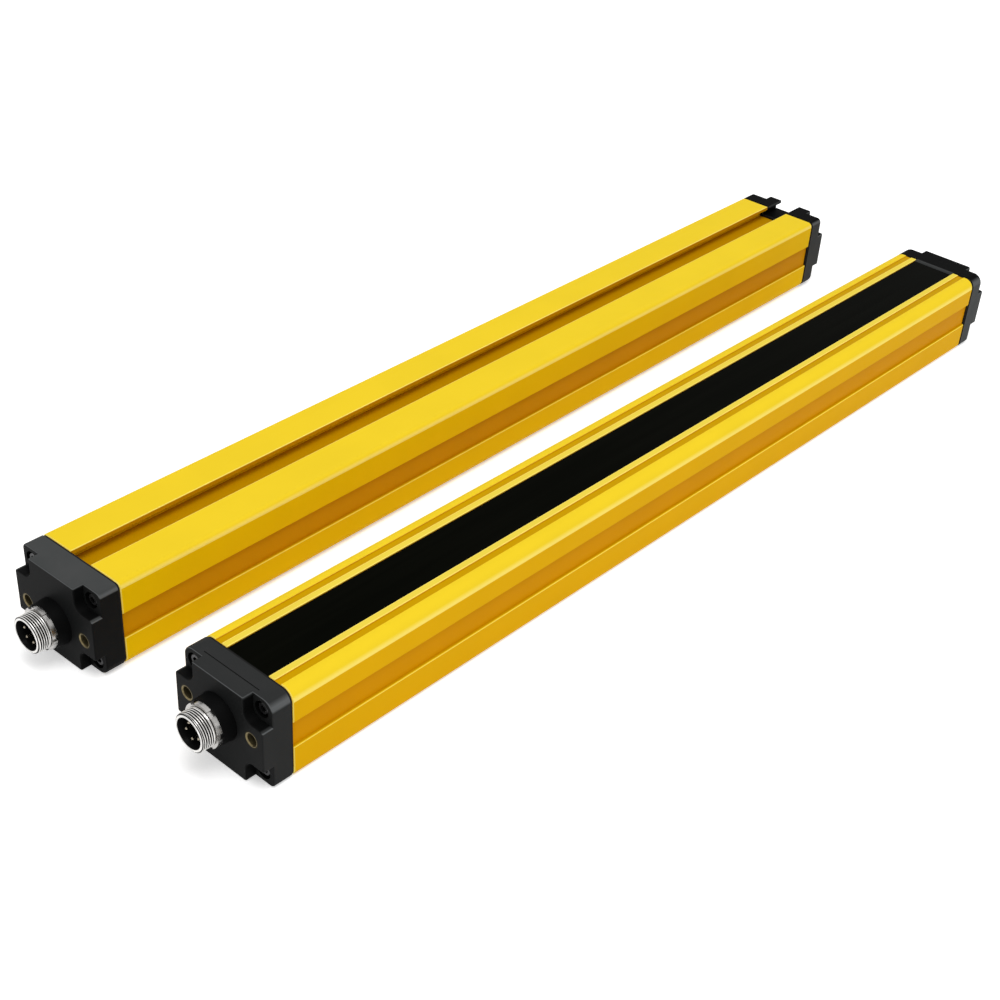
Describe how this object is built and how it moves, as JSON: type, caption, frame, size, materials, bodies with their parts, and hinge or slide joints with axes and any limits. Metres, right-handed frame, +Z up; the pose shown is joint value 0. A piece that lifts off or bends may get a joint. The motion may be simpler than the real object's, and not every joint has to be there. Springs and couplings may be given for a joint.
{
  "type": "safety light curtain",
  "caption": "Safety light curtain pair: yellow extruded housings with dark front windows, T-slot backs, black end caps and round plug connectors",
  "frame": {"origin": "middle of the pair's outline, on the surface that both bars lie on", "axes": "+X along the emitter bar, from its connector to its far cap; +Y from the emitter to the receiver; +Z up"},
  "size_m": [0.5328, 0.148, 0.04],
  "materials": {
    "housing_coat": "satin yellow",
    "window_dark": "dark infrared-pass",
    "cap_black": "satin black",
    "seal_black": "matte",
    "screw_steel": "blackened",
    "insert_brass": "turned",
    "connector_plating": "nickel plated",
    "insulator_black": "matte",
    "pin_gold": "gold plated",
    "board_green": "solder mask",
    "baffle_black": "matte",
    "lens_clear": "clear moulded",
    "element_violet": "dark",
    "chip_black": "matte",
    "header_black": "matte",
    "status_white": "clear"
  },
  "bodies": {
    "root": {"emitter_housing_profile": "housing_coat", "emitter_front_window": "window_dark", "emitter_window_seals": "seal_black", "emitter_near_gasket": "seal_black", "emitter_near_cap": "cap_black", "emitter_near_cap_screws": "screw_steel", "emitter_threaded_inserts": "insert_brass", "emitter_connector_shell": "connector_plating", "emitter_connector_nut": "connector_plating", "emitter_connector_seal": "seal_black", "emitter_connector_insulator": "insulator_black", "emitter_connector_pins": "pin_gold", "emitter_far_gasket": "seal_black", "emitter_far_cap": "cap_black", "emitter_far_cap_screws": "screw_steel", "emitter_optics_board": "board_green", "emitter_optics_carrier": "baffle_black", "emitter_lens_strip": "lens_clear", "emitter_infrared_leds": "element_violet", "emitter_status_leds": "status_white", "emitter_status_light_guide": "lens_clear", "emitter_control_board": "board_green", "emitter_control_chips": "chip_black", "emitter_board_header": "header_black", "emitter_connector_board": "board_green", "emitter_angle_header": "header_black", "receiver_housing_profile": "housing_coat", "receiver_front_window": "window_dark", "receiver_window_seals": "seal_black", "receiver_near_gasket": "seal_black", "receiver_near_cap": "cap_black", "receiver_near_cap_screws": "screw_steel", "receiver_threaded_inserts": "insert_brass", "receiver_connector_shell": "connector_plating", "receiver_connector_nut": "connector_plating", "receiver_connector_seal": "seal_black", "receiver_connector_insulator": "insulator_black", "receiver_connector_pins": "pin_gold", "receiver_far_gasket": "seal_black", "receiver_far_cap": "cap_black", "receiver_far_cap_screws": "screw_steel", "receiver_optics_board": "board_green", "receiver_optics_carrier": "baffle_black", "receiver_lens_strip": "lens_clear", "receiver_photodiodes": "element_violet", "receiver_status_leds": "status_white", "receiver_status_light_guide": "lens_clear", "receiver_control_board": "board_green", "receiver_control_chips": "chip_black", "receiver_board_header": "header_black", "receiver_connector_board": "board_green", "receiver_angle_header": "header_black"}
  },
  "joints": []
}
